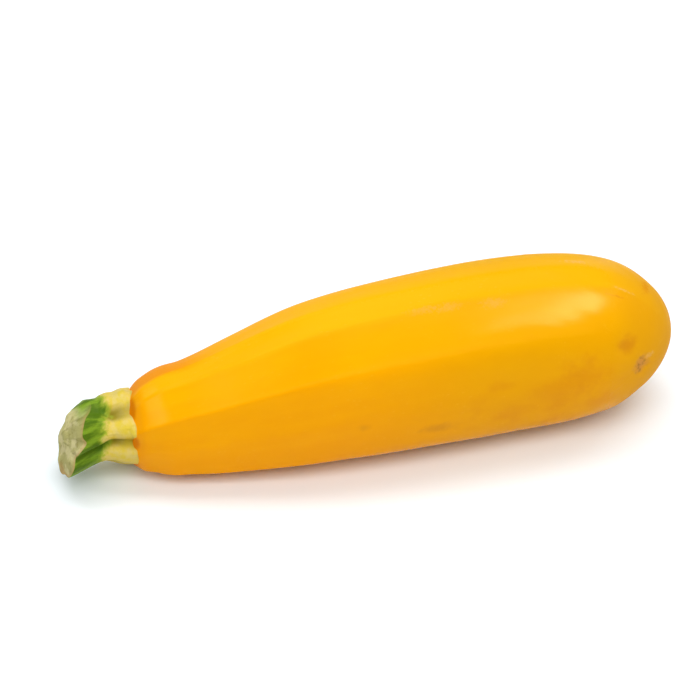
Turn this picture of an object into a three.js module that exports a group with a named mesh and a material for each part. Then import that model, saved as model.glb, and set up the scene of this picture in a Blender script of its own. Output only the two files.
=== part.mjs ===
// A yellow zucchini lying on its side as picked: the fruit, and the short cut stalk that it hung from.
// Lengths are millimetres and angles are degrees. +Z is up, the stalk points along -X and the
// blossom end along +X. The origin is on the table, under the middle of the bounding box.
import * as THREE from "three";

// Centre line of the fruit, drawn in the horizontal plane by its heading from +X towards +Y.
const FRUIT_LENGTH = 156.7;
const HEADING_AT_STALK = 1;
const SWING = 9; // gained evenly from the stalk to the blossom end
const TIP_TURN = -36; // the blossom end turns back towards -Y, ever faster up to its tip
const TIP_TURN_START = 94; // distance from the stalk where that turn begins

// Radius of the fruit at distances along its centre line.
const FRUIT_RADII = [
  [0, 10.9],
  [5.5, 14],
  [15.5, 16.1],
  [31.5, 19.4],
  [52, 22.8],
  [75.5, 24.4],
  [100.5, 25.1],
  [122.5, 24.5],
  [138.5, 21.8],
  [150, 14.5],
  [FRUIT_LENGTH, 0],
];

// How the fruit lies: its underside rests on the table, clear of it at both ends.
const STALK_END_LIFT = 3.3;
const STALK_END_LIFT_LENGTH = 25;
const CONTACT_DEPTH = 0.8; // the skin is pressed flat by this much where it rests

// Ridges run from the stalk's ribs to the blossom end, a main one and then a softer one in turn.
// Each has its own angle about the centre line, from the +Y side over the top.
const RIDGES = [142, 178, 214, 250, 286, 322, 358, 400, 448, 466];
const FIRST_RIDGE = RIDGES[0];
const MAIN_RIDGE = { atStalk: 0.32, onBelly: 0.21, length: 90, rounding: 0.002 };
const MINOR_RIDGE = { atStalk: 0.3, onBelly: 0.16, length: 110, rounding: 0.01 };
const RIDGE_LEAN = { angle: 170, share: 0.8 }; // the main ridges are stronger on this side
const UPPER_RIDGE = { angle: 112, halfWidth: 20, base: 0.5 }; // the strongest of the softer ones
const RIDGES_END = { start: 118, end: 150 }; // they fade out before the blossom end
const RIDGE_TWIST = { angle: 8, length: 16 }; // they turn a little close to the stalk

// The stalk. Its cross-sections turn from the joint's plane to the oblique plane of the cut.
const STALK_END = new THREE.Vector3(-18.4, -5.1, 2.1); // centre of the cut, from the joint's centre
const STALK_BOW = 1.2; // how far the stalk's middle bows towards +Y
const CUT_YAW = 5;
const CUT_PITCH = 19;
const JOINT_GAP = 0.3;
const STALK_RADII = [
  [0, 11],
  [0.18, 10.6],
  [0.36, 9.3],
  [0.54, 9],
  [0.78, 10.2],
  [0.95, 10.9],
  [1, 10.6],
];
// Grooves between the ribs, each at its own angle, with a depth that is a share of the radius.
const GROOVES = [
  { atJoint: 111, atCut: 95, halfWidth: 17, depth: 0.22 },
  { atJoint: 166, atCut: 176, halfWidth: 10, depth: 0.3 },
  { atJoint: 228, atCut: 240, halfWidth: 16, depth: 0.16 },
  { atJoint: 305, atCut: 305, halfWidth: 16, depth: 0.25 },
  { atJoint: 25, atCut: 20, halfWidth: 16, depth: 0.22 },
];
const GROOVE_FADE = [
  [0, 0.75],
  [0.15, 0.95],
  [0.5, 1],
  [0.8, 0.8],
  [1, 0.6],
];
const GROOVE_TURN = { start: 0.35, end: 0.6 }; // share of the length over which a groove shifts
// The rib on top is fuller than the others.
const TOP_RIB = { angle: 68, halfWidth: 38 };
const TOP_RIB_SWELL = [
  [0, 0.8],
  [0.12, 1],
  [0.27, 1.2],
  [0.42, 2],
  [0.53, 1.7],
  [0.61, 0.8],
  [0.78, 0.2],
  [1, 0],
];
// The rim of the cut is broken back towards the joint, by most where the skin has torn.
const RIM_BACK = 0.5;
const BROKEN_RIM = [
  { angle: 80, halfWidth: 30, length: 4.8 },
  { angle: 150, halfWidth: 9, length: 2.2 },
  { angle: 25, halfWidth: 35, length: 2.8 },
];
// The dried cut bulges from its rim in a low dome, at shares inward of the radius.
const CUT_DOME = 0.8;
const CUT_FLATNESS = { recess: 2.5, dome: 4 }; // powers, higher for a flatter middle
const CUT_RINGS = [0.85, 0.6, 0.3];

// Mesh resolution.
const SEGMENTS_AROUND = 60;
const FRUIT_RINGS = 52;
const STALK_RINGS = 20;
const RINGS_TOWARDS_TIP = 1.25; // above 1, the rings gather at the blossom end

const radians = THREE.MathUtils.degToRad;
const degrees = THREE.MathUtils.radToDeg;

/** Angles about a centre line, one for each segment, starting on a ridge. */
const AROUND = Array.from(
  { length: SEGMENTS_AROUND },
  (_, k) => radians(FIRST_RIDGE) + (k / SEGMENTS_AROUND) * 2 * Math.PI,
);

/** Joins rings of points into one closed skin, with a centre point to close each end. */
function skin(rings, startCentre, endCentre) {
  const points = [startCentre, ...rings.flat(), endCentre];
  const faces = [];
  const at = (ring, k) => 1 + ring * SEGMENTS_AROUND + (k % SEGMENTS_AROUND);
  for (let k = 0; k < SEGMENTS_AROUND; k++) {
    faces.push(0, at(0, k + 1), at(0, k));
    for (let ring = 0; ring + 1 < rings.length; ring++) {
      faces.push(at(ring, k), at(ring + 1, k + 1), at(ring + 1, k));
      faces.push(at(ring, k), at(ring, k + 1), at(ring + 1, k + 1));
    }
    const last = rings.length - 1;
    faces.push(points.length - 1, at(last, k), at(last, k + 1));
  }
  const geometry = new THREE.BufferGeometry().setFromPoints(points);
  geometry.setIndex(faces);
  geometry.computeVertexNormals();
  return geometry;
}

/** 1 at the centre angle, falling to 0 on both sides of it. */
function bump(angle, centre, halfWidth) {
  const away = THREE.MathUtils.euclideanModulo(degrees(angle) - centre + 180, 360) - 180;
  return Math.exp(-((away / halfWidth) ** 2));
}

/** Reads a list of [place, value] pairs at a place, with straight lines between them. */
function between(pairs, place) {
  const passed = pairs.filter(([at]) => at <= place).length;
  const next = THREE.MathUtils.clamp(passed, 1, pairs.length - 1);
  const [start, from] = pairs[next - 1];
  const [end, to] = pairs[next];
  return THREE.MathUtils.mapLinear(place, start, end, from, to);
}

/** The angle that this one would have if the ridges were evenly spaced. */
function evenTurn(angle) {
  const away = THREE.MathUtils.euclideanModulo(degrees(angle) - FIRST_RIDGE, 360);
  const places = [...RIDGES, FIRST_RIDGE + 360].map((ridge, k) => [
    ridge - FIRST_RIDGE,
    (360 * k) / RIDGES.length,
  ]);
  return radians(FIRST_RIDGE + between(places, away));
}

/** Radius of a polygon with rounded corners, less its mean, for a polygon of mean radius 1. */
function polygonRipple(corners, angle, rounding) {
  const fromSide = (corners / 2) * (angle - radians(FIRST_RIDGE)) + Math.PI / 2;
  const bent = (2 / corners) * Math.asin((1 - rounding) * Math.sin(fromSide));
  const half = Math.PI / corners;
  const mean = Math.log(1 / Math.cos(half) + Math.tan(half)) / half;
  return 1 / Math.cos(bent) - mean;
}

/** A ridge's strength at a distance along the fruit. */
function fade(ridge, along) {
  const faded = THREE.MathUtils.smoothstep(along, 0, ridge.length);
  const strength = THREE.MathUtils.lerp(ridge.atStalk, ridge.onBelly, faded);
  return strength * (1 - THREE.MathUtils.smoothstep(along, RIDGES_END.start, RIDGES_END.end));
}

/** Radius of the fruit as a share of the mean radius of its cross-section. */
function fruitSection(along, angle) {
  const twisted = 1 - THREE.MathUtils.smoothstep(along, 0, RIDGE_TWIST.length);
  const turn = angle - radians(RIDGE_TWIST.angle) * twisted;
  const lean = 1 + RIDGE_LEAN.share * Math.cos(turn - radians(RIDGE_LEAN.angle));
  const upper = UPPER_RIDGE.base + bump(turn, UPPER_RIDGE.angle, UPPER_RIDGE.halfWidth);
  const even = evenTurn(turn);
  const mains = RIDGES.length / 2;
  const main = lean * fade(MAIN_RIDGE, along) * polygonRipple(mains, even, MAIN_RIDGE.rounding);
  const minor = upper * fade(MINOR_RIDGE, along);
  return 1 + main + minor * polygonRipple(RIDGES.length, even, MINOR_RIDGE.rounding);
}

/** Heading of the fruit's centre line, in radians. */
function heading(along) {
  const turned = Math.max((along - TIP_TURN_START) / (FRUIT_LENGTH - TIP_TURN_START), 0) ** 2;
  return radians(HEADING_AT_STALK + (SWING * along) / FRUIT_LENGTH + TIP_TURN * turned);
}

/** Centre line of the fruit: points with their distance, radius and sideways direction. */
function fruitSpine() {
  // The curve runs through squared radii, so that it reaches 0 as a round end.
  const profile = new THREE.SplineCurve(
    FRUIT_RADII.map(([along, radius]) => new THREE.Vector2(along, radius ** 2)),
  );
  const stations = [];
  const centre = new THREE.Vector3();
  let along = 0;
  let widest = 0;
  for (let ring = 0; ring <= FRUIT_RINGS; ring++) {
    const { x, y } = profile.getPoint(1 - (1 - ring / FRUIT_RINGS) ** RINGS_TOWARDS_TIP);
    const direction = heading((along + x) / 2);
    centre.x += (x - along) * Math.cos(direction);
    centre.y += (x - along) * Math.sin(direction);
    along = x;
    const radius = Math.sqrt(Math.max(y, 0));
    widest = Math.max(widest, radius);
    const lift = STALK_END_LIFT * Math.max(1 - along / STALK_END_LIFT_LENGTH, 0) ** 2;
    centre.z = widest + lift - CONTACT_DEPTH;
    const sideways = new THREE.Vector3(-Math.sin(heading(along)), Math.cos(heading(along)), 0);
    stations.push({ along, radius, centre: centre.clone(), sideways });
  }
  return stations;
}

function buildFruit(stations) {
  const rings = stations.slice(0, -1).map(({ along, radius, centre, sideways }) =>
    AROUND.map((angle) => {
      const reach = radius * fruitSection(along, angle);
      const point = centre.clone().addScaledVector(sideways, reach * Math.cos(angle));
      point.z = Math.max(point.z + reach * Math.sin(angle), 0);
      return point;
    }),
  );
  return skin(rings, stations[0].centre, stations.at(-1).centre);
}

/** Depth of the grooves between the ribs, as a share of the stalk's radius. */
function grooveDepth(share, angle) {
  const turned = THREE.MathUtils.smoothstep(share, GROOVE_TURN.start, GROOVE_TURN.end);
  let depth = 0;
  for (const groove of GROOVES) {
    const centre = THREE.MathUtils.lerp(groove.atJoint, groove.atCut, turned);
    depth += groove.depth * bump(angle, centre, groove.halfWidth);
  }
  return depth * between(GROOVE_FADE, share);
}

/** Radius of the stalk. */
function stalkReach(share, angle) {
  const swell = between(TOP_RIB_SWELL, share) * bump(angle, TOP_RIB.angle, TOP_RIB.halfWidth);
  return between(STALK_RADII, share) * (1 - grooveDepth(share, angle)) + swell;
}

/** Where along the stalk the rim of the cut lies, as a share of its length. */
function rimShare(angle) {
  let back = RIM_BACK;
  for (const broken of BROKEN_RIM) {
    back += broken.length * bump(angle, broken.angle, broken.halfWidth);
  }
  return 1 - back / STALK_END.length();
}

/** A point of the stalk, drawn in to its axis by shrink and pushed out along it by push. */
function stalkPoint(base, share, angle, shrink, push) {
  const yaw = THREE.MathUtils.lerp(radians(HEADING_AT_STALK), radians(CUT_YAW), share);
  const pitch = radians(CUT_PITCH) * share;
  const sideways = new THREE.Vector3(-Math.sin(yaw), Math.cos(yaw), 0);
  const outward = new THREE.Vector3(
    -Math.cos(yaw) * Math.cos(pitch),
    -Math.sin(yaw) * Math.cos(pitch),
    Math.sin(pitch),
  );
  const upward = new THREE.Vector3().crossVectors(sideways, outward);
  const reach = stalkReach(share, angle) * shrink;
  const point = base.clone().addScaledVector(STALK_END, share);
  point.y += STALK_BOW * Math.sin(Math.PI * share);
  return point
    .addScaledVector(outward, push)
    .addScaledVector(sideways, reach * Math.cos(angle))
    .addScaledVector(upward, reach * Math.sin(angle));
}

function buildStalk(joint) {
  const heading = radians(HEADING_AT_STALK);
  const gap = new THREE.Vector3(-Math.cos(heading), -Math.sin(heading), 0).multiplyScalar(JOINT_GAP);
  const base = joint.centre.clone().add(gap);
  const sides = Array.from({ length: STALK_RINGS + 1 }, (_, ring) =>
    AROUND.map((angle) => stalkPoint(base, (rimShare(angle) * ring) / STALK_RINGS, angle, 1, 0)),
  );
  // The cut rises from its rim to a low dome.
  const cutPoint = (angle, inward) => {
    const recess = (1 - rimShare(angle)) * STALK_END.length();
    const filled = recess * (1 - inward ** CUT_FLATNESS.recess);
    const rise = filled + CUT_DOME * (1 - inward ** CUT_FLATNESS.dome);
    return stalkPoint(base, rimShare(angle), angle, inward, rise);
  };
  const cut = CUT_RINGS.map((inward) => AROUND.map((angle) => cutPoint(angle, inward)));
  const innermost = cut.at(-1);
  const cutCentre = innermost
    .reduce((sum, point) => sum.add(point), new THREE.Vector3())
    .divideScalar(innermost.length);
  // The rings run from the cut to the joint, so that they follow +X as the fruit's do.
  return skin([...sides, ...cut].reverse(), cutCentre, base);
}

function mesh(name, geometry, color, roughness) {
  const material = new THREE.MeshStandardMaterial({ color, roughness, metalness: 0 });
  const made = new THREE.Mesh(geometry, material);
  made.name = name;
  return made;
}

const stations = fruitSpine();
const fruit = mesh("fruit", buildFruit(stations), 0xf5a800, 0.38);
const stalk = mesh("stalk", buildStalk(stations[0]), 0x9aa63c, 0.6);

const zucchini = new THREE.Group();
zucchini.add(fruit, stalk);
const middle = new THREE.Box3().setFromObject(zucchini).getCenter(new THREE.Vector3());
zucchini.position.set(-middle.x, -middle.y, 0);

export default zucchini;
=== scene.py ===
import math

import bpy
import numpy as np
from mathutils import Matrix, Vector, noise


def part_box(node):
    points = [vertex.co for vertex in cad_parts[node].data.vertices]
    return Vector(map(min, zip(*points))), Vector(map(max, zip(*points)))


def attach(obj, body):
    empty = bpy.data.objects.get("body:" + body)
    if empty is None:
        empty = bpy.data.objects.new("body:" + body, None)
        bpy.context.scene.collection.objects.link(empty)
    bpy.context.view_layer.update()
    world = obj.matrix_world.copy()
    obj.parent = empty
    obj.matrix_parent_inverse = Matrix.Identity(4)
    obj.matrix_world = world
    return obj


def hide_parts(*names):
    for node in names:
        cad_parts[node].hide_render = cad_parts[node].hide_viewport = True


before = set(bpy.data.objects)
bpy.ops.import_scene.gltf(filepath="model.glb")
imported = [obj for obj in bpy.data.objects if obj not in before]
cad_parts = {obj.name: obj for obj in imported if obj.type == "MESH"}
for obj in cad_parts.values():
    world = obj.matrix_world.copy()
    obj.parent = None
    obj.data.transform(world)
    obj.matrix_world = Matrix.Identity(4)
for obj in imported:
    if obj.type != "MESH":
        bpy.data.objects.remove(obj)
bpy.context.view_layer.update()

# A yellow zucchini on its side. Lengths are millimetres until a mesh is made, and angles are degrees.
# Directions are those of the frame: +X from the stalk to the blossom end, +Z up. Angles round the fruit
# and round the stalk go from the +Y side over the top. Shapes begin at the joint of fruit and stalk.
MM = 0.001
UP = np.array((0, 0, 1.0))

# ---- The fruit's centre line and radius, as in the solid model ----
FRUIT_LENGTH = 156.7
HEADING_AT_STALK = 1
# Turned evenly along the fruit, and turned back ever faster from a place up to the tip.
SWING = 9
TIP_TURN = -36
TIP_TURN_START = 94
# Distance along the centre line, and the radius there.
FRUIT_RADII = [
    (0, 10.9),
    (5.5, 14.0),
    (15.5, 16.1),
    (31.5, 19.4),
    (52, 22.8),
    (75.5, 24.4),
    (100.5, 25.1),
    (122.5, 24.5),
    (138.5, 21.8),
    (150, 14.5),
    (FRUIT_LENGTH, 0),
]
BELLY_RADIUS = 25
# The underside is clear of the floor at the stalk, and is pressed flat where it rests.
STALK_END_LIFT = 3.3
STALK_END_LIFT_LENGTH = 25
CONTACT_DEPTH = 0.8

# ---- Ridges ----
# Angles of the main ridges and, after each, of the softer one beside it.
RIDGES = [142, 178, 214, 250, 286, 322, 358, 400, 448, 466]
FIRST_RIDGE = RIDGES[0]
RIDGE_COUNT = len(RIDGES) // 2
# Strength at the stalk, strength on the belly, and the length over which the one becomes the other.
MAIN_RIDGE = (0.32, 0.21, 90)
MINOR_RIDGE = (0.3, 0.16, 110)
# How round the ridges are, from 0 for a sharp edge. The main ones grow rounder over a stretch.
MAIN_ROUNDING = (0.002, 0.05)
ROUNDER_OVER = (40, 90)
MINOR_ROUNDING = 0.01
# The main ridges are stronger on one side: the angle there, and by how much.
RIDGE_LEAN = (170, 0.8)
# The softer ridge on top, with its angle and half-width, adds 1 to the strength that the others have.
UPPER_RIDGE = (112, 20)
OTHER_MINOR_RIDGES = 0.5
# All ridges fade out over this stretch.
RIDGES_END = (118, 150)
# Close to the stalk the ridges turn by this much, over this length.
RIDGE_TWIST = (8, 16)

# ---- Zones of the skin: pairs of angles or distances over which each starts, ends or has its edge ----
# The pale top, a painted sheen. Its edge wanders by some degrees, in waves of a size, drawn with a seed.
CREST_START = (20, 70)
CREST_EDGE = (103, 110)
CREST_WANDER = (5, 18, 7)
# The strip of painted shade, deeper orange, beside the stalk.
SLIVER_START = (20, 50)
SLIVER_EDGE = (86, 94)
SLIVER_END = (10, 28)
# The matter skin. Its edge is the first pair beside the stalk and the second on the belly.
MATT_START = (0, 30)
MATT_EDGE = ((90, 104), (72, 96))
BELLY_START = (8, 40)
MATT_END = (125, 150)
MATT_TIP = (132, 150)

# ---- Relief of the skin, which the solid model leaves out ----
# Low waves and fine lengthwise streaks: height, size and seed. They fade out towards the tip, where the
# fruit is thinner than this radius.
SKIN_WAVES = (0.25, 24, 1)
SKIN_STREAKS = (0.06, 4, 2)
STREAK_SHAPE = (0.35, 1, 1)
RELIEF_RADIUS = 12
# Marks pressed into the skin: distance along, angle, radius and depth.
SCAR = (150, 176, 2.6, 0.7)
DIMPLE = (144, 152, 3.2, 0.45)
# The stretch over which the lines of growth bend to meet at the scar.
GROWTH_BEND = (112, 150)
# The skin is drawn in beside the stalk, between its ribs, in hollows wider than the grooves there.
COLLAR_DEPTH = 1.5
COLLAR_LENGTH = 1.3
COLLAR_REACH = 0.9
COLLAR_SPREAD = 1.2
# Low swells and dips round the shoulder: distance along, half-length, height.
SHOULDER = [(4.6, 2.2, -0.3), (10.5, 3.0, 0.3)]

# ---- The stalk. Shares run from 0 at the joint to 1 at the cut ----
# The middle of the cut, measured from the joint, and how far the stalk's middle bows towards +Y.
STALK_END = np.array((-18.4, -5.1, 2.1))
STALK_BOW = 1.2
STALK_LENGTH = 19.2
# How far the cross-sections have turned at the cut.
CUT_YAW = 5
CUT_PITCH = 19
# Share of the length, and the radius there.
STALK_RADII = [(0, 11), (0.18, 10.6), (0.36, 9.3), (0.54, 9), (0.78, 10.2), (0.95, 10.9), (1, 10.6)]
# Patterns on the stalk lie on a cylinder of this radius.
STALK_GRAIN_RADIUS = 10
# Grooves between the ribs: angle at the joint, angle at the cut, half-width, depth as a share of the radius.
GROOVES = [
    (111, 95, 17, 0.22),
    (166, 176, 10, 0.3),
    (228, 240, 16, 0.16),
    (305, 305, 16, 0.25),
    (25, 20, 16, 0.22),
]
GROOVE_FADE = [(0, 0.75), (0.15, 0.95), (0.5, 1), (0.8, 0.8), (1, 0.6)]
GROOVE_TURN = (0.35, 0.6)
# The rib on top is fuller than the others: its angle and half-width, and how far it stands out.
TOP_RIB = (68, 38)
TOP_RIB_SWELL = [
    (0, 0.8),
    (0.12, 1.0),
    (0.27, 1.2),
    (0.42, 2.0),
    (0.53, 1.7),
    (0.61, 0.8),
    (0.78, 0.2),
    (1, 0),
]
# The ribs spread as thin lobes over the shoulder of the fruit: angle, half-width, length.
LOBES = [(84, 13, 2.0), (139, 14, 1.1), (196, 15, 0.5), (268, 22, 0.9), (345, 24, 0.9)]
LOBE_MARGIN = 0.1
LOBE_THICKNESS = 0.45
# A lobe is full where it is longer than this, and gives way to the stalk between these shares.
LOBE_FULL = (0.05, 0.4)
LOBE_BLEND = (-0.02, 0.12)
# The rim of the cut lies this far back from the stalk's end, and is broken back further in places:
# angle, half-width, length.
RIM_BACK = 0.5
BROKEN_RIM = [(80, 30, 4.8), (150, 9, 2.2), (25, 35, 2.8)]
# The dried cut swells in a low dome. The powers are higher for a flatter middle.
CUT_DOME = 0.8
CUT_FLATNESS = {"recess": 2.5, "dome": 4}
# Lumps on the cut: share of the radius, angle, radius and height.
CUT_LUMPS = [
    (0.12, 140, 2.2, 0.9),
    (0.6, 262, 2.6, 0.8),
    (0.5, 50, 2.0, 0.8),
    (0.6, 330, 2.2, 0.6),
    (0.7, 190, 2.0, 0.5),
    (0.78, 100, 1.8, 0.5),
]
# Rough skin on the cut: height, size and seed. It starts within this share of the rim.
CUT_ROUGH = [(0.4, 3.2, 3), (0.16, 1.3, 4)]
CUT_ROUGH_MARGIN = 0.12
# The innermost ring of the cut, as a share of the radius.
CUT_CENTRE = 0.015
# On top, the green skin curls in over the rim: its angle and half-width, and the shares of the radius.
CURL = (66, 30)
CURL_REACH = (0.6, 0.85)

# ---- Mesh resolution ----
FRUIT_AROUND = 360
FRUIT_RINGS = 270
RINGS_TOWARDS_TIP = 1.25
STALK_AROUND = 300
STALK_SIDE_RINGS = 200
CUT_RINGS = 60
# The directions of the skin are measured over twice this length, and twice this angle in radians.
HALF_STEP = 0.5
HALF_TURN = 0.01
# Samples of a smooth curve, and how far apart the noises of two seeds are drawn.
CURVE_SAMPLES = 400
SEED_STEP = 13.7


# =============================== geometry helpers ===============================


def smoothstep(x, low, high):
    t = np.clip((np.asarray(x, float) - low) / (high - low), 0, 1)
    return t * t * (3 - 2 * t)


def mix(a, b, share):
    return a + (b - a) * share


def through(points, t):
    """A Catmull-Rom curve through points, at shares t of its length in steps."""
    points = np.array(points, float)
    steps = len(points) - 1
    place = np.clip(np.asarray(t, float), 0, 1) * steps
    start = np.minimum(place.astype(int), steps - 1)
    w = (place - start)[:, None]
    padded = np.vstack([points[:1], points, points[-1:]])
    a, b, c, d = (padded[start + k] for k in range(4))
    return 0.5 * (2 * b + (c - a) * w + (2 * a - 5 * b + 4 * c - d) * w**2 + (3 * b - a - 3 * c + d) * w**3)


def between(points, share):
    """A smooth curve through (share, value) points, read at any array of shares."""
    fine = through(points, np.linspace(0, 1, CURVE_SAMPLES))
    return np.interp(share, fine[:, 0], fine[:, 1])


def bump_at(angle, centre, half_width):
    """1 at the centre angle, falling to 0 on both sides. The angle is in radians, the rest in degrees."""
    away = np.degrees(angle) - centre
    away = (away + 180) % 360 - 180
    return np.exp(-((away / half_width) ** 2))


def noise_at(points, height, size, seed):
    """Smooth noise from about -height to height at points (..., 3), with features about size across."""
    shifted = points.reshape(-1, 3) / size + seed * SEED_STEP
    values = np.array([noise.noise(point) for point in shifted.tolist()])
    return height * values.reshape(points.shape[:-1])


def angles_around(count):
    return math.radians(FIRST_RIDGE) + np.arange(count) / count * 2 * math.pi


def from_axis(sideways, angle):
    """The direction out from the fruit's centre line at an angle round it."""
    return sideways * np.cos(angle)[..., None] + UP * np.sin(angle)[..., None]


def grain_at(along, angle, radius):
    """Coordinates that follow a skin, along it and around it, for its patterns to lie in."""
    return np.stack([along, radius * np.cos(angle), radius * np.sin(angle)], -1)


def skin_mesh(name, rings, start_centre, end_centre, attributes):
    """A closed mesh from rings (ring, point, xyz) in mm, with a point attribute for each entry."""
    count, around, _ = rings.shape
    points = np.vstack([[start_centre], rings.reshape(-1, 3), [end_centre]])
    faces = []
    for k in range(around):
        a, b = k, (k + 1) % around
        faces.append((0, 1 + b, 1 + a))
        for ring in range(count - 1):
            low, high = 1 + ring * around, 1 + (ring + 1) * around
            faces.append((low + a, low + b, high + b, high + a))
        last = 1 + (count - 1) * around
        faces.append((len(points) - 1, last + a, last + b))
    mesh = bpy.data.meshes.new(name)
    mesh.from_pydata(((points + OFFSET) * MM).tolist(), [], faces)
    mesh.shade_smooth()
    for key, values in attributes.items():
        add_attribute(mesh, key, np.asarray(values, float).reshape(count * around, -1), around)
    add_bake_map(mesh, count, around)
    return link(name, mesh)


def add_attribute(mesh, key, flat, around):
    """A point attribute from the values of the rings. Both end points take the mean of their ring."""
    full = np.vstack([flat[:around].mean(0), flat, flat[-around:].mean(0)])
    if full.shape[1] == 3:
        mesh.attributes.new(key, "FLOAT_VECTOR", "POINT").data.foreach_set("vector", full.ravel())
    else:
        mesh.attributes.new(key, "FLOAT", "POINT").data.foreach_set("value", full.ravel())


def add_bake_map(mesh, count, around):
    """A UV map with the rings across and the angle up, cut along the first column."""
    uv = mesh.uv_layers.new(name="OFBake")
    out = np.zeros((len(mesh.loops), 2))
    vertex = np.zeros(len(mesh.loops), int)
    mesh.loops.foreach_get("vertex_index", vertex)
    ring = (vertex - 1) // around
    step = (vertex - 1) % around
    last = len(mesh.vertices) - 1
    polygon = np.repeat(np.arange(len(mesh.polygons)), [len(p.vertices) for p in mesh.polygons])
    column = polygon // (count + 1)
    wrapped = (column == around - 1) & (step == 0)
    out[:, 0] = np.where(vertex == 0, 0, np.where(vertex == last, count + 1, ring + 1)) / (count + 1)
    out[:, 1] = np.where((vertex == 0) | (vertex == last), column + 0.5, step + around * wrapped) / around
    uv.data.foreach_set("uv", out.ravel())


def link(name, data):
    made = bpy.data.objects.new(name, data)
    bpy.context.scene.collection.objects.link(made)
    return made


# =============================== the fruit ===============================


def even_turn(angle):
    """The angle that this one would have if the ridges were evenly spaced."""
    away = (np.degrees(angle) - FIRST_RIDGE) % 360
    apart = np.append(RIDGES, FIRST_RIDGE + 360) - FIRST_RIDGE
    return np.radians(FIRST_RIDGE + np.interp(away, apart, np.linspace(0, 360, len(apart))))


def polygon_ripple(corners, angle, rounding):
    """Radius of a rounded polygon, less its mean, for a mean radius of 1. A corner is at FIRST_RIDGE."""
    from_side = corners / 2 * (angle - math.radians(FIRST_RIDGE)) + math.pi / 2
    bent = 2 / corners * np.arcsin((1 - rounding) * np.sin(from_side))
    half = math.pi / corners
    mean = math.log(1 / math.cos(half) + math.tan(half)) / half
    return 1 / np.cos(bent) - mean


def fade(ridge, along):
    at_stalk, on_belly, length = ridge
    return mix(at_stalk, on_belly, smoothstep(along, 0, length)) * (1 - smoothstep(along, *RIDGES_END))


def ridge_twist(along):
    """How far the ridges turn, in degrees."""
    twist, length = RIDGE_TWIST
    return twist * (1 - smoothstep(along, 0, length))


def fruit_section(along, angle):
    """Radius of the fruit as a share of the mean radius of its cross-section."""
    angle = angle - np.radians(ridge_twist(along))
    strong_side, stronger = RIDGE_LEAN
    lean = 1 + stronger * np.cos(angle - math.radians(strong_side))
    upper = OTHER_MINOR_RIDGES + bump_at(angle, *UPPER_RIDGE)
    even = even_turn(angle)
    rounding = mix(*MAIN_ROUNDING, smoothstep(along, *ROUNDER_OVER))
    main = lean * fade(MAIN_RIDGE, along) * polygon_ripple(RIDGE_COUNT, even, rounding)
    minor = upper * fade(MINOR_RIDGE, along) * polygon_ripple(2 * RIDGE_COUNT, even, MINOR_ROUNDING)
    return 1 + main + minor


def heading(along):
    turned = np.maximum((along - TIP_TURN_START) / (FRUIT_LENGTH - TIP_TURN_START), 0) ** 2
    return np.radians(HEADING_AT_STALK + SWING * along / FRUIT_LENGTH + TIP_TURN * turned)


def fruit_spine():
    """Distance along, radius, centre and sideways direction at each ring."""
    share = 1 - (1 - np.linspace(0, 1, FRUIT_RINGS)) ** RINGS_TOWARDS_TIP
    squared = through([(s, r * r) for s, r in FRUIT_RADII], share)
    along, radius = squared[:, 0], np.sqrt(np.maximum(squared[:, 1], 0))
    step = np.diff(along, prepend=0)
    direction = heading(along - step / 2)
    x = np.cumsum(step * np.cos(direction))
    y = np.cumsum(step * np.sin(direction))
    lift = STALK_END_LIFT * np.maximum(1 - along / STALK_END_LIFT_LENGTH, 0) ** 2
    z = np.maximum.accumulate(radius) + lift - CONTACT_DEPTH
    turn = heading(along)
    sideways = np.stack([-np.sin(turn), np.cos(turn), 0 * turn], -1)
    return along, radius, np.stack([x, y, z], -1), sideways


def fruit_axis(along):
    """Radius, centre and sideways direction at distances along the centre line."""
    stations, radius, centre, sideways = fruit_spine()
    at = [np.interp(along, stations, values) for values in (radius, *centre.T, *sideways.T)]
    return at[0], np.stack(at[1:4], -1), np.stack(at[4:7], -1)


def fruit_point(along, angle):
    """A point of the ridged skin. The arrays along and angle have one shape."""
    radius, centre, sideways = fruit_axis(along)
    reach = radius * fruit_section(along, angle)
    return centre + from_axis(sideways, angle) * reach[..., None]


def frame_offset():
    """What to add to a point measured from the joint, so that the fruit's two boxes share a middle."""
    along, _, centre, _ = fruit_spine()
    points = fruit_point(along[:, None] + np.zeros((1, FRUIT_AROUND)), angles_around(FRUIT_AROUND)[None, :])
    points = np.vstack([points.reshape(-1, 3), centre[-1:]])
    low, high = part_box("fruit")
    offset = (np.array(low) + np.array(high)) / 2 / MM - (points.min(0) + points.max(0)) / 2
    offset[2] = 0
    return offset


def top_sheen(along, angle):
    """1 on the painted sheen of the pale top, above the softer ridge there, falling to 0 on both sides."""
    turned = np.degrees(angle) % 360 - ridge_twist(along)
    wander = noise_at(grain_at(along, angle, BELLY_RADIUS), *CREST_WANDER)
    return smoothstep(turned, *CREST_START) * (1 - smoothstep(turned + wander, *CREST_EDGE))


def sliver_shade(along, angle):
    """1 on the strip of painted shade, deeper orange, beside the stalk, behind the ridge along the top."""
    turned = np.degrees(angle) % 360
    behind = smoothstep(turned, *SLIVER_START) * (1 - smoothstep(turned, *SLIVER_EDGE))
    return behind * (1 - smoothstep(along, *SLIVER_END))


def matt(along, angle):
    """1 on the matter skin, which lies behind the ridge along the top and at the blossom end."""
    turned = np.degrees(angle) % 360
    on_belly = smoothstep(along, *BELLY_START)
    start, end = (mix(near, far, on_belly) for near, far in zip(*MATT_EDGE))
    behind = smoothstep(turned, *MATT_START) * (1 - np.clip((turned - start) / (end - start), 0, 1))
    behind = behind * (1 - smoothstep(along, *MATT_END))
    return mix(behind, 1, smoothstep(along, *MATT_TIP))


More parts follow.
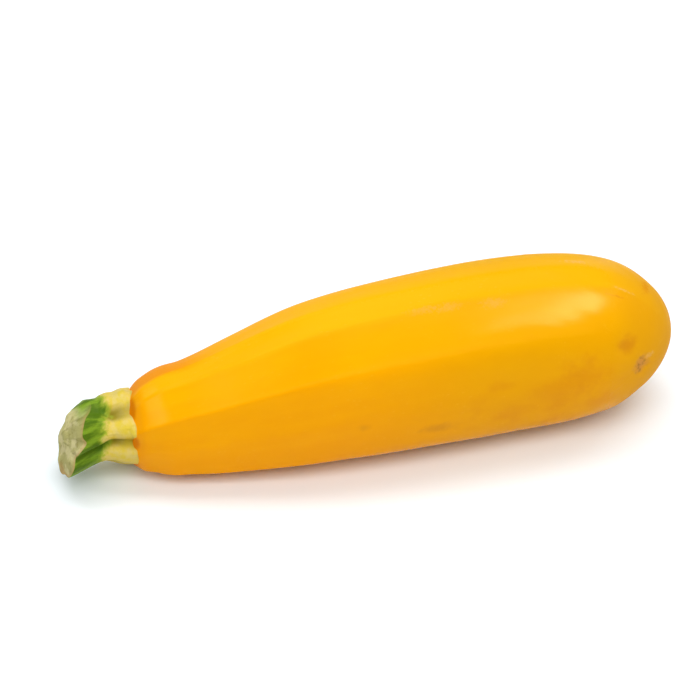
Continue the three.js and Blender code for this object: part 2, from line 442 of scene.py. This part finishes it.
def collar(along, angle):
    """How deep the skin is drawn in beside the stalk, between its ribs, as a share of the most."""
    hollow = 0
    for at_joint, _, half_width, _ in GROOVES:
        hollow = hollow + bump_at(angle, at_joint, COLLAR_SPREAD * half_width)
    return np.exp(-((along / COLLAR_LENGTH) ** 2)) * hollow


def shoulder(along):
    """How far the skin beside the stalk stands out or in, which makes its shoulder rounder."""
    height = 0
    for place, half_length, out in SHOULDER:
        height = height + out * np.exp(-(((along - place) / half_length) ** 2))
    return height


def spot(place):
    """The distance along and the angle in radians of a mark, as arrays."""
    return np.array(place[0], float), np.array(math.radians(place[1]))


def growth_angle(along, angle, radius):
    """The angle round the lines of growth, which leave the centre line to meet at the blossom scar."""
    scar_along, scar_angle = spot(SCAR)
    scar_radius, _, _ = fruit_axis(scar_along)
    shift = smoothstep(along, *GROWTH_BEND) * scar_radius
    across = radius * np.cos(angle) - shift * math.cos(scar_angle)
    up = radius * np.sin(angle) - shift * math.sin(scar_angle)
    return np.arctan2(up, across)


def relief(grain, along, angle, radius):
    """How far the skin stands out from its ridged shape, with its waves, shoulder, hollows and marks."""
    out = noise_at(grain, *SKIN_WAVES) + noise_at(grain * np.array(STREAK_SHAPE), *SKIN_STREAKS)
    out = out * smoothstep(radius, 0, RELIEF_RADIUS)
    out = out - COLLAR_DEPTH * collar(along, angle) + shoulder(along)
    for place in (SCAR, DIMPLE):
        away = np.linalg.norm(fruit_point(along, angle) - fruit_point(*spot(place)), axis=-1)
        out = out - place[3] * np.exp(-((away / place[2]) ** 2))
    return out


def build_fruit():
    stations, _, centres, _ = fruit_spine()
    along = stations[:-1, None] + np.zeros((1, FRUIT_AROUND))
    angle = angles_around(FRUIT_AROUND)[None, :] + 0 * along
    radius, _, sideways = fruit_axis(along)
    grain = grain_at(along, growth_angle(along, angle, radius), BELLY_RADIUS)
    out = relief(grain, along, angle, radius)
    points = fruit_point(along, angle) + from_axis(sideways, angle) * out[..., None]
    hollow = collar(along, angle)
    points[..., 0] -= COLLAR_REACH * hollow
    points[..., 2] = np.maximum(points[..., 2], 0)
    attributes = {
        "grain": grain,
        "hollow": hollow,
        "top_sheen": top_sheen(along, angle),
        "sliver_shade": sliver_shade(along, angle),
        "matt": matt(along, angle),
    }
    return points, points[0].mean(0), centres[-1], attributes


def skin_frame(along, angle_degrees):
    """A place on the skin and its directions: along the fruit, around it and out, in metres."""
    s, a = spot((along, angle_degrees))
    here = fruit_point(s, a)
    lengthwise = fruit_point(s + HALF_STEP, a) - fruit_point(s - HALF_STEP, a)
    lengthwise = lengthwise / np.linalg.norm(lengthwise)
    around = fruit_point(s, a + HALF_TURN) - fruit_point(s, a - HALF_TURN)
    around = around - lengthwise * (around @ lengthwise)
    around = around / np.linalg.norm(around)
    turn = Matrix([lengthwise, around, np.cross(lengthwise, around)]).transposed()
    return (here + OFFSET) * MM, turn.to_euler()


# =============================== the stalk ===============================


def in_grooves(share, angle, weights):
    """The sum of the grooves at a place, each from 0 on the ribs to its weight in its middle."""
    total = 0
    for (at_joint, at_cut, half_width, _), weight in zip(GROOVES, weights):
        centre = mix(at_joint, at_cut, smoothstep(share, *GROOVE_TURN))
        total = total + weight * bump_at(angle, centre, half_width)
    return total


def groove_depth(share, angle):
    """Depth of the grooves, as a share of the radius."""
    return in_grooves(share, angle, [depth for _, _, _, depth in GROOVES]) * between(GROOVE_FADE, share)


def groove_tint(share, angle):
    """How much the stalk's skin lies in a groove, from 0 on the ribs to about 1."""
    return in_grooves(share, angle, [1] * len(GROOVES))


def lobe_length(angle):
    """How far the stalk's lobes reach over the shoulder of the fruit."""
    length = 0
    for centre, half_width, reach in LOBES:
        length = length + reach * bump_at(angle, centre, half_width)
    return length


def lobe_share(angle):
    """Where the stalk's skin ends on the shoulder of the fruit, as a share before the joint."""
    return -(LOBE_MARGIN + lobe_length(angle)) / STALK_LENGTH


def stalk_reach(share, angle):
    """Radius of the stalk, and of its lobes on the fruit where the share is below 0."""
    swell = between(TOP_RIB_SWELL, share) * bump_at(angle, *TOP_RIB)
    ribbed = between(STALK_RADII, share) * (1 - groove_depth(share, angle)) + swell
    along = np.maximum(-share, 0) * STALK_LENGTH
    radius, _, _ = fruit_axis(along)
    skin = radius * fruit_section(along, angle) - COLLAR_DEPTH * collar(along, angle)
    # A lobe thins out and dips under the fruit's skin at its end.
    spent = np.clip(share / lobe_share(angle), 0, 1)
    lobe = skin + LOBE_THICKNESS * (1 - 2 * spent**3)
    on_lobe = smoothstep(lobe_length(angle), *LOBE_FULL) * (1 - smoothstep(share, *LOBE_BLEND))
    return mix(ribbed, lobe, on_lobe)


def stalk_point(share, angle, shrink=1.0, push=0.0):
    """Points of the stalk's skin. shrink draws them to its axis, push moves them along it."""
    yaw = np.radians(mix(HEADING_AT_STALK, CUT_YAW, share))
    pitch = np.radians(CUT_PITCH) * share
    sideways = np.stack([-np.sin(yaw), np.cos(yaw), 0 * yaw], -1)
    outward = np.stack([-np.cos(yaw) * np.cos(pitch), -np.sin(yaw) * np.cos(pitch), np.sin(pitch)], -1)
    upward = np.cross(sideways, outward)
    centre = fruit_spine()[2][0] + STALK_END * share[..., None]
    centre[..., 1] += STALK_BOW * np.sin(math.pi * np.clip(share, 0, 1))
    reach = stalk_reach(share, angle) * shrink
    return (
        centre
        + outward * np.asarray(push)[..., None]
        + sideways * (reach * np.cos(angle))[..., None]
        + upward * (reach * np.sin(angle))[..., None]
    )


def rim_share(angle):
    """Where along the stalk the rim of the cut lies."""
    back = RIM_BACK
    for centre, half_width, length in BROKEN_RIM:
        back = back + length * bump_at(angle, centre, half_width)
    return 1 - back / STALK_LENGTH


def cut_rise(inward, angle, recess):
    """How far the cut stands out from its rim, at shares inward of its radius."""
    rise = recess * (1 - inward ** CUT_FLATNESS["recess"]) + CUT_DOME * (1 - inward ** CUT_FLATNESS["dome"])
    flat = grain_at(0 * inward, angle, STALK_GRAIN_RADIUS * inward)
    for share, centre, radius, height in CUT_LUMPS:
        lump = grain_at(0.0, math.radians(centre), STALK_GRAIN_RADIUS * share)
        away = np.linalg.norm(flat - lump, axis=-1)
        rise = rise + height * np.exp(-((away / radius) ** 2))
    # The roughness is drawn in the plane of the cut, whose two coordinates come first there.
    in_plane = flat[..., [1, 2, 0]]
    rough = sum(noise_at(in_plane, *layer) for layer in CUT_ROUGH)
    return rise + rough * smoothstep(1 - inward, 0, CUT_ROUGH_MARGIN)


def side_and_cut(side, cut):
    """The rings of the stalk's side and of its cut as one run, from the middle of the cut."""
    return np.concatenate([side, cut])[::-1]


def build_stalk():
    angle = angles_around(STALK_AROUND)[None, :]
    rim = rim_share(angle)
    start = lobe_share(angle)
    side_share = start + np.linspace(0, 1, STALK_SIDE_RINGS)[:, None] * (rim - start)
    side_angle = angle + 0 * side_share
    side = stalk_point(side_share, side_angle)
    # The cut, from its rim in to its centre.
    inward = np.linspace(1, CUT_CENTRE, CUT_RINGS)[1:, None] + 0 * angle
    cut_share = rim + 0 * inward
    cut_angle = angle + 0 * inward
    rise = cut_rise(inward, cut_angle, (1 - rim) * STALK_LENGTH)
    cut = stalk_point(cut_share, cut_angle, inward, rise)
    share = side_and_cut(side_share, cut_share)
    on_cut = side_and_cut(0 * side_share, 1 + 0 * inward)
    inner = side_and_cut(1 + 0 * side_share, inward)
    turned = side_and_cut(side_angle, cut_angle)
    attributes = {
        "grain": grain_at(share * STALK_LENGTH, turned, STALK_GRAIN_RADIUS * inner),
        "share": share,
        "groove": side_and_cut(groove_tint(side_share, side_angle), 0 * inward),
        "cut": on_cut,
        "inner": inner,
        "curl": on_cut * bump_at(turned, *CURL) * smoothstep(inner, *CURL_REACH),
    }
    return side_and_cut(side, cut), cut[-1].mean(0), side[0].mean(0), attributes


# =============================== materials ===============================


class Graph:
    """A material's node tree, with one short call for each kind of node."""

    def __init__(self, name=None, tree=None):
        self.tree = tree
        if name:
            self.material = bpy.data.materials.new(name)
            self.material.use_nodes = True
            self.tree = self.material.node_tree
            self.shader = self.tree.nodes["Principled BSDF"]

    def add(self, kind, inputs=None, **settings):
        made = self.tree.nodes.new(kind)
        for key, value in settings.items():
            setattr(made, key, value)
        for key, value in (inputs or {}).items():
            self.feed(made.inputs[key], value)
        return made

    def feed(self, socket, value):
        if isinstance(value, bpy.types.NodeSocket):
            self.tree.links.new(value, socket)
        elif isinstance(value, tuple) and len(value) == 3 and socket.type == "RGBA":
            socket.default_value = (*value, 1)
        else:
            socket.default_value = value

    def finish(self, **inputs):
        """Feeds the shader, whose inputs are given with _ for each space in their names."""
        for key, value in inputs.items():
            self.feed(self.shader.inputs[key.replace("_", " ")], value)
        return self.material

    def attribute(self, name, output="Fac"):
        return self.add("ShaderNodeAttribute", attribute_name=name).outputs[output]

    def vector(self, operation, a, b=(0, 0, 0)):
        """A vector, or a number where the operation is LENGTH."""
        outputs = self.add("ShaderNodeVectorMath", {0: a, 1: b}, operation=operation).outputs
        return outputs["Value" if operation == "LENGTH" else "Vector"]

    def scaled(self, vector, scale):
        return self.vector("MULTIPLY", vector, scale)

    def noise(self, vector, scale, detail=3, roughness=0.5):
        inputs = {"Vector": vector, "Scale": scale, "Detail": detail, "Roughness": roughness}
        return self.add("ShaderNodeTexNoise", inputs).outputs[0]

    def ramp(self, value, low, high, start=0, end=1):
        """Goes smoothly from start to end while the value goes from low to high."""
        inputs = {"Value": value, "From Min": low, "From Max": high, "To Min": start, "To Max": end}
        return self.add("ShaderNodeMapRange", inputs, interpolation_type="SMOOTHSTEP").outputs[0]

    def split(self, vector, axis):
        return self.add("ShaderNodeSeparateXYZ", {0: vector}).outputs[axis]

    def maths(self, operation, a, b=0.0):
        return self.add("ShaderNodeMath", {0: a, 1: b}, operation=operation).outputs[0]

    def blend(self, share, a, b):
        return self.add("ShaderNodeMix", {0: share, 6: a, 7: b}, data_type="RGBA").outputs[2]

    def background_rays(self):
        """1 where the floor is looked at, directly or by way of a shiny or clear surface."""
        rays = self.add("ShaderNodeLightPath").outputs
        mirrored = self.maths("MAXIMUM", rays["Is Glossy Ray"], rays["Is Transmission Ray"])
        return self.maths("MAXIMUM", rays["Is Camera Ray"], mirrored)

    def bump(self, height, distance, strength, normal=None):
        node = self.add("ShaderNodeBump", {"Height": height, "Distance": distance, "Strength": strength})
        if normal is not None:
            self.feed(node.inputs["Normal"], normal)
        return node.outputs[0]


# ---- Colours of the fruit ----
GOLD = (0.95, 0.405, 0.0)
# Painted sheen on the pale top.
PAINTED_SHEEN_GOLD = (0.96, 0.48, 0.002)
AMBER = (0.90, 0.35, 0.0)
ORANGE = (0.90, 0.29, 0.0)
# Painted shade in the hollows beside the stalk.
HOLLOW_SHADE_ORANGE = (0.70, 0.19, 0.0)
# Painted shade on the strip behind the top ridge.
SHADED_ORANGE = (0.86, 0.28, 0.0)
OCHRE = (0.74, 0.37, 0.0)
TIP_OCHRE = (0.80, 0.36, 0.0)
PALE_FLECK = (0.98, 0.52, 0.05)
BRUISE = (0.74, 0.265, 0.003)
SMEAR = (0.58, 0.215, 0.012)
SCUFF = (0.85, 0.48, 0.13)
FAINT_SCUFF = (0.86, 0.39, 0.12)
SCAR_LILAC = (0.64, 0.28, 0.07)
SCAR_DARK = (0.42, 0.16, 0.02)
DIMPLE_BROWN = (0.68, 0.24, 0.003)
RUST = (0.72, 0.25, 0.01)

# The skin's finish: it reflects a little yellower than white, and is rougher where it is dry or matt.
SKIN_SPECULAR = 0.09
SHEEN = (1, 1, 0.45)
SKIN_ROUGHNESS = (0.17, 0.24)
DRY_ROUGHNESS = 0.3
MATT_ROUGHNESS = 0.4
SKIN_BUMP = 0.00006

# How close patterns are, along the fruit and across it, in features per mm.
PATCH_GRAIN = (0.035, 0.07, 0.07)
STREAK_GRAIN = (0.02, 0.3, 0.3)
FLECK_GRAIN = (0.45, 0.8, 0.8)
BLOTCH_GRAIN = (0.08, 0.12, 0.12)
WAVE_GRAIN = (0.05, 0.5, 0.5)

# Colours over the whole skin: where each starts and ends, and its share at both. The first is by height
# above the centre line, painted shade that deepens the bottom towards amber and pales the top. The others
# are by distance along the fruit.
PAINTED_SHADE_BELOW = (16, -14, -0.2, 0.7)
CREST_GROWS = (10, 90, 0.45, 1)
OCHRE_BELLY = (50, 105, 0, 0.45)
OCHRE_TIP = (132, 152, 0, 0.8)
ORANGE_SHOULDER = (5, 0, 0, 0.4)
# Painted shade, by how deep the skin is drawn in beside the stalk, and the strength of the painted shade
# on the strip behind the top ridge.
HOLLOW_SHADE_TINT = (0.2, 0.65, 0, 0.95)
SLIVER_SHADE_STRENGTH = 0.85
# Where the blotches lie: by height above the centre line, and by distance along the fruit.
BLOTCHES_BELOW = (8, -4)
BLOTCHES_FROM = (62, 105)

# Marks: distance along, angle, half-length, half-width, strength, colour. Those at angles up to 40, or
# from 300 on, are on the back.
SCUFFS = [
    (82, 107, 4.4, 1.3, 0.22, FAINT_SCUFF),
    (89, 109, 3.8, 1.5, 0.22, FAINT_SCUFF),
    (101.5, 112, 3.6, 1.5, 0.22, FAINT_SCUFF),
    (129, 82, 4.2, 1.0, 0.75, SCUFF),
    (148.5, 80, 1.6, 3.2, 0.6, RUST),
    (142, 104, 4.0, 0.45, 0.5, SCUFF),
    (139.5, 112, 3.2, 0.4, 0.45, RUST),
    (152, 168, 2.4, 0.9, 0.6, SCUFF),
    (64, 40, 4.0, 1.2, 0.35, FAINT_SCUFF),
    (104, 8, 3.6, 1.4, 0.35, FAINT_SCUFF),
    (138, 340, 3.0, 0.6, 0.5, SCUFF),
    (33, 350, 3.4, 0.9, 0.35, FAINT_SCUFF),
]
BRUISES = [
    (128, 170, 6.5, 5.5, 0.5, BRUISE),
    (99.5, 169, 4.0, 1.6, 0.3, BRUISE),
    (82, 195, 5.0, 1.8, 0.4, SMEAR),
    (103, 193, 7.0, 3.0, 0.3, BRUISE),
    (135, 198, 5.5, 3.0, 0.4, BRUISE),
    (61, 183, 2.0, 1.4, 0.25, SMEAR),
    (144, 152, 3.4, 3.0, 0.7, DIMPLE_BROWN),
    (118, 182, 8.0, 5.0, 0.35, BRUISE),
    (92, 352, 6.0, 4.0, 0.3, BRUISE),
    (47, 15, 3.0, 1.6, 0.3, SMEAR),
    (122, 28, 5.0, 3.5, 0.3, BRUISE),
    (70, 325, 7.0, 2.4, 0.35, SMEAR),
    (112, 300, 8.0, 4.0, 0.35, BRUISE),
]
SCAR_PATCH = [(SCAR[0], SCAR[1], 3.0, 2.4, 0.85, SCAR_LILAC)]
# A mark is an ellipsoid this deep. It fades out from the second to the first share of its size.
MARK_DEPTH = 4.0
MARK_EDGE = (1.4, 0.2)


def paint_marks(g, colour, marks, where, breakup):
    """Paints each mark over the colour and returns it with the marks' combined mask."""
    total = 0.0
    for along, angle, half_length, half_width, strength, tint in marks:
        centre, turn = skin_frame(along, angle)
        size = Vector((half_length, half_width, MARK_DEPTH)) * MM
        inputs = {"Vector": where, "Location": centre, "Rotation": turn, "Scale": size}
        local = g.add("ShaderNodeMapping", inputs, vector_type="TEXTURE").outputs[0]
        away = g.maths("ADD", g.vector("LENGTH", local), breakup)
        mask = g.ramp(away, *MARK_EDGE, 0, strength)
        colour = g.blend(mask, colour, tint)
        total = g.maths("MAXIMUM", total, mask)
    return colour, total


def paint_ground(g, grain, along, above):
    """Gold in broad patches and faint lengthwise streaks, with the tones of the skin's zones."""
    patches = g.noise(g.scaled(grain, PATCH_GRAIN), 1.0, 4, 0.55)
    streaks = g.noise(g.scaled(grain, STREAK_GRAIN), 1.0, 3, 0.5)
    tone = g.maths("ADD", g.ramp(patches, 0.3, 0.7, 0, 0.6), g.ramp(streaks, 0.3, 0.75, 0, 0.2))
    # Painted shade: the tone deepens to amber towards the bottom and pales on top.
    tone = g.maths("ADD", tone, g.ramp(above, *PAINTED_SHADE_BELOW))
    colour = g.blend(tone, GOLD, AMBER)
    # Painted sheen: the top is paler gold, as where it faces the light.
    painted_sheen = g.maths("MULTIPLY", g.attribute("top_sheen"), g.ramp(patches, 0.2, 0.6, 0.6, 1))
    painted_sheen = g.maths("MULTIPLY", painted_sheen, g.ramp(along, *CREST_GROWS))
    colour = g.blend(painted_sheen, colour, PAINTED_SHEEN_GOLD)
    # Painted shade: the strip behind the top ridge beside the stalk is deeper orange.
    colour = g.blend(g.maths("MULTIPLY", g.attribute("sliver_shade"), SLIVER_SHADE_STRENGTH), colour, SHADED_ORANGE)
    colour = g.blend(g.ramp(along, *OCHRE_BELLY), colour, OCHRE)
    colour = g.blend(g.ramp(along, *OCHRE_TIP), colour, TIP_OCHRE)
    colour = g.blend(g.ramp(along, *ORANGE_SHOULDER), colour, ORANGE)
    # Painted shade: darker orange in the hollows beside the stalk.
    return g.blend(g.ramp(g.attribute("hollow"), *HOLLOW_SHADE_TINT), colour, HOLLOW_SHADE_ORANGE)


def paint_flecks(g, colour, grain):
    """Fine pale flecks, drawn out along the fruit, in sparse groups."""
    cells = g.add("ShaderNodeTexVoronoi", {"Vector": g.scaled(grain, FLECK_GRAIN), "Scale": 1.0})
    groups = g.ramp(g.noise(grain, 0.11, 2), 0.42, 0.62)
    fleck = g.maths("MULTIPLY", g.ramp(cells.outputs["Distance"], 0.28, 0.1, 0, 0.18), groups)
    return g.blend(fleck, colour, PALE_FLECK)


def paint_blotches(g, colour, grain, along, above):
    """Darker blotches on the lower belly."""
    blotch = g.ramp(g.noise(g.scaled(grain, BLOTCH_GRAIN), 1.0, 4, 0.6), 0.48, 0.75, 0, 0.4)
    low_belly = g.maths("MULTIPLY", g.ramp(above, *BLOTCHES_BELOW), g.ramp(along, *BLOTCHES_FROM))
    return g.blend(g.maths("MULTIPLY", blotch, low_belly), colour, BRUISE)


def paint_scar(g, colour, where, breakup):
    """The blossom scar, a dry lilac-grey patch with darker dots, and its mask."""
    colour, scarred = paint_marks(g, colour, SCAR_PATCH, where, breakup)
    dots = g.ramp(g.noise(where, 600, 2), 0.45, 0.6)
    return g.blend(g.maths("MULTIPLY", dots, scarred), colour, SCAR_DARK), scarred


def skin_material():
    g = Graph("zucchini_skin")
    grain = g.attribute("grain", "Vector")
    along = g.split(grain, "X")
    above = g.split(grain, "Z")
    where = g.add("ShaderNodeTexCoord").outputs["Object"]
    colour = paint_ground(g, grain, along, above)
    colour = paint_flecks(g, colour, grain)
    colour = paint_blotches(g, colour, grain, along, above)
    # Bruises, scuffs and the scar lie at their own places, with soft or ragged outlines.
    ragged = g.ramp(g.noise(where, 1100, 4, 0.75), 0.2, 0.8, -0.8, 1.0)
    soft = g.ramp(g.noise(where, 260, 3, 0.6), 0.25, 0.75, -0.35, 0.35)
    colour, _ = paint_marks(g, colour, BRUISES, where, soft)
    colour, scuffed = paint_marks(g, colour, SCUFFS, where, ragged)
    colour, scarred = paint_scar(g, colour, where, soft)
    dry = g.maths("MAXIMUM", scuffed, scarred)
    fine = g.noise(grain, 1.3, 3, 0.6)
    rough = g.maths("ADD", g.ramp(fine, 0.3, 0.7, *SKIN_ROUGHNESS), g.ramp(dry, 0, 0.7, 0, DRY_ROUGHNESS))
    rough = g.maths("ADD", rough, g.ramp(g.attribute("matt"), 0, 1, 0, MATT_ROUGHNESS))
    waves = g.bump(g.noise(g.scaled(grain, WAVE_GRAIN), 1.0, 3), SKIN_BUMP, 0.3)
    pores = g.bump(g.maths("ADD", fine, g.maths("MULTIPLY", dry, 0.5)), SKIN_BUMP, 0.35, waves)
    return g.finish(
        Base_Color=colour,
        Roughness=rough,
        Specular_IOR_Level=SKIN_SPECULAR,
        Specular_Tint=SHEEN,
        Normal=pores,
    )


# ---- Colours of the stalk ----
CREAM = (0.71, 0.56, 0.16)
YELLOW = (0.71, 0.54, 0.05)
YELLOW_SHADE = (0.48, 0.37, 0.03)
# Painted shade in the grooves at the joint.
GROOVE_SHADE_OLIVE = (0.24, 0.19, 0.006)
SPRING_GREEN = (0.33, 0.42, 0.03)
LEAF = (0.20, 0.34, 0.018)
MOSS = (0.08, 0.165, 0.005)
CRUST = (0.43, 0.40, 0.15)
CRUST_LIGHT = (0.58, 0.53, 0.26)
CRUST_DARK = (0.25, 0.22, 0.06)
TAN = (0.50, 0.30, 0.10)

# The stalk's finish. Its skin is smoother than the cut.
STALK_SPECULAR = 0.08
STALK_ROUGHNESS = (0.5, 0.8)
STALK_BUMP = 0.0005
FIBRE_GRAIN = (0.12, 0.55, 0.55)
# Shares of the stalk between which the green begins and darkens, and how much earlier in the grooves.
GREEN_START = (0.43, 0.58)
GREEN_DARKENS = (0.5, 0.66)
GREEN_IN_GROOVES = 0.12
# How far the grooves are darkened to olive, as painted shade, at the joint and further on.
GROOVE_SHADE = (0.0, 0.4, 0.35, 0.95)
# Where the cut is tanned most, in the stalk's grain coordinates, whose first is not used, and how far.
CUT_CORNER = (0, -4, -9)
CORNER_TAN = (4.5, 1.5, 0, 0.6)
RIM_TAN = (0.88, 1.0, 0, 0.6)


def paint_joint(g, fibres, mottle, groove, share):
    """Cream and yellow at the joint, with painted shade, olive, in the grooves."""
    pale = g.blend(g.ramp(mottle, 0.35, 0.65), CREAM, YELLOW)
    pale = g.blend(g.ramp(fibres, 0.5, 0.75, 0, 0.5), pale, YELLOW_SHADE)
    # Painted shade: the grooves darken to olive.
    shade = g.maths("MULTIPLY", g.ramp(groove, 0.3, 1.0), g.ramp(share, *GROOVE_SHADE))
    return g.blend(shade, pale, GROOVE_SHADE_OLIVE)


def paint_green(g, colour, fibres, mottle, groove, share):
    """Green towards the cut: light where it begins, streaked, and darkest in the grooves."""
    reach = g.maths("ADD", share, g.maths("MULTIPLY", groove, GREEN_IN_GROOVES))
    reach = g.maths("ADD", reach, g.ramp(mottle, 0.25, 0.75, -0.08, 0.08))
    leaf = g.blend(g.ramp(fibres, 0.35, 0.62), LEAF, MOSS)
    leaf = g.blend(g.ramp(groove, 0.45, 0.95, 0, 0.85), leaf, MOSS)
    green = g.blend(g.ramp(reach, *GREEN_DARKENS), SPRING_GREEN, leaf)
    return g.blend(g.ramp(reach, *GREEN_START), colour, green)


def paint_cut(g, colour, grain, mottle):
    """The dried cut: a mottled crust, tanned at its rim and at one corner."""
    crust = g.blend(g.ramp(mottle, 0.42, 0.58), CRUST, CRUST_LIGHT)
    crust = g.blend(g.ramp(g.noise(grain, 0.55, 3, 0.6), 0.5, 0.7, 0, 0.6), crust, CRUST_DARK)
    crust = g.blend(g.ramp(g.attribute("inner"), *RIM_TAN), crust, TAN)
    from_corner = g.scaled(g.vector("SUBTRACT", grain, CUT_CORNER), (0, 1, 1))
    crust = g.blend(g.ramp(g.vector("LENGTH", from_corner), *CORNER_TAN), crust, TAN)
    on_cut = g.maths("SUBTRACT", g.attribute("cut"), g.attribute("curl"))
    return g.blend(on_cut, colour, crust), on_cut


def stalk_material():
    g = Graph("zucchini_stalk")
    grain = g.attribute("grain", "Vector")
    share = g.attribute("share")
    groove = g.attribute("groove")
    fibres = g.noise(g.scaled(grain, FIBRE_GRAIN), 1.0, 4, 0.6)
    mottle = g.noise(grain, 0.3, 4, 0.6)
    colour = paint_joint(g, fibres, mottle, groove, share)
    colour = paint_green(g, colour, fibres, mottle, groove, share)
    colour, on_cut = paint_cut(g, colour, grain, mottle)
    ribs = g.bump(fibres, STALK_BUMP, 0.5)
    return g.finish(
        Base_Color=colour,
        Roughness=g.ramp(on_cut, 0, 1, *STALK_ROUGHNESS),
        Specular_IOR_Level=STALK_SPECULAR,
        Normal=g.bump(g.noise(grain, 0.9, 4, 0.65), STALK_BUMP, 0.5, ribs),
    )


# =============================== floor, light and camera ===============================

# Lengths are metres here. The floor has one colour where light falls on it and one where it is seen.
FLOOR_HALF = 6
FLOOR_WHITE = (0.8, 0.8, 0.8)
FLOOR_SEEN = (1.0, 1.06, 1.1)
FLOOR_ROUGHNESS = 0.9
# How bright the room is as a light, and the elevations between which its mirrored walls end.
WORLD_DIM = 0.27
WALL_TOP = (10, 24)
# Softboxes: azimuth from +X, elevation, distance, size and watts. The small ones only make the
# highlights and the large ones only light the colours.
HIGHLIGHTS = [
    ("softbox_right", -8, 63, 1.2, (0.36, 0.28), 9.4),
    ("softbox_left", -176, 47, 1.2, (0.5, 0.4), 3.2),
]
FILLS = [
    ("fill_front", -97, 54, 1.4, (2.3, 0.7), 14.8),
    ("fill_back", 75, 74, 1.4, (2.2, 0.7), 14.8),
]
CAMERA_AZIMUTH = -9.2
CAMERA_ELEVATION = 38
CAMERA_DISTANCE = 0.8
CAMERA_LENS = 148
CAMERA_SENSOR = 36
# The point that the camera looks at, in mm from the joint of fruit and stalk and above the floor.
LOOK_FROM_JOINT = (61.4, 0, 34.7)


def make_floor():
    mesh = bpy.data.meshes.new("floor")
    corners = [(-1, -1), (1, -1), (1, 1), (-1, 1)]
    mesh.from_pydata([(x * FLOOR_HALF, y * FLOOR_HALF, 0) for x, y in corners], [], [(0, 1, 2, 3)])
    g = Graph("floor_white")
    colour = g.blend(g.background_rays(), FLOOR_WHITE, FLOOR_SEEN)
    mesh.materials.append(g.finish(Base_Color=colour, Roughness=FLOOR_ROUGHNESS, Specular_IOR_Level=0))
    floor = link("floor", mesh)


def direction(azimuth_from_x, elevation):
    a, e = math.radians(azimuth_from_x), math.radians(elevation)
    return Vector((math.cos(a) * math.cos(e), math.sin(a) * math.cos(e), math.sin(e)))


def make_softbox(name, azimuth_from_x, elevation, distance, size, power):
    light = bpy.data.lights.new(name, "AREA")
    light.shape = "RECTANGLE"
    light.size, light.size_y = size
    light.energy = power
    made = link(name, light)
    towards = direction(azimuth_from_x, elevation)
    made.location = towards * distance
    made.rotation_euler = towards.to_track_quat("Z", "Y").to_euler()
    made.visible_camera = False
    return made


def make_world():
    """A studio with white walls and a dim ceiling, which lights the object dimly from all round."""
    world = bpy.data.worlds.new("studio")
    bpy.context.scene.world = world
    world.use_nodes = True
    g = Graph(tree=world.node_tree)
    height = g.split(g.add("ShaderNodeTexCoord").outputs["Generated"], "Z")
    low, high = (math.sin(math.radians(elevation)) for elevation in WALL_TOP)
    wall = g.ramp(height, low, high, 1, WORLD_DIM)
    rays = g.add("ShaderNodeLightPath").outputs
    mirrored = g.maths("MULTIPLY", rays["Is Glossy Ray"], wall)
    seen = g.maths("MAXIMUM", rays["Is Camera Ray"], rays["Is Transmission Ray"])
    strength = g.maths("MAXIMUM", g.maths("MAXIMUM", seen, mirrored), WORLD_DIM)
    background = g.tree.nodes["Background"]
    background.inputs["Color"].default_value = (1, 1, 1, 1)
    g.feed(background.inputs["Strength"], strength)


def make_camera(target):
    data = bpy.data.cameras.new("camera")
    data.lens = CAMERA_LENS
    data.sensor_width = CAMERA_SENSOR
    camera = link("camera", data)
    back = direction(CAMERA_AZIMUTH - 90, CAMERA_ELEVATION)
    camera.location = target + back * CAMERA_DISTANCE
    camera.rotation_mode = "QUATERNION"
    camera.rotation_quaternion = back.to_track_quat("Z", "Y")
    bpy.context.scene.camera = camera


# =============================== assembly ===============================

OFFSET = frame_offset()

fruit = skin_mesh("fruit_skin", *build_fruit())
fruit.data.materials.append(skin_material())
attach(fruit, "root")
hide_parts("fruit")

stalk = skin_mesh("cut_stalk", *build_stalk())
stalk.data.materials.append(stalk_material())
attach(stalk, "root")
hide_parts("stalk")

make_floor()
make_world()
for name, *shape in HIGHLIGHTS:
    make_softbox(name, *shape).visible_diffuse = False
for name, *shape in FILLS:
    make_softbox(name, *shape).visible_glossy = False
make_camera(Vector((OFFSET + np.array(LOOK_FROM_JOINT)) * MM))

bpy.context.scene.view_settings.view_transform = "Standard"
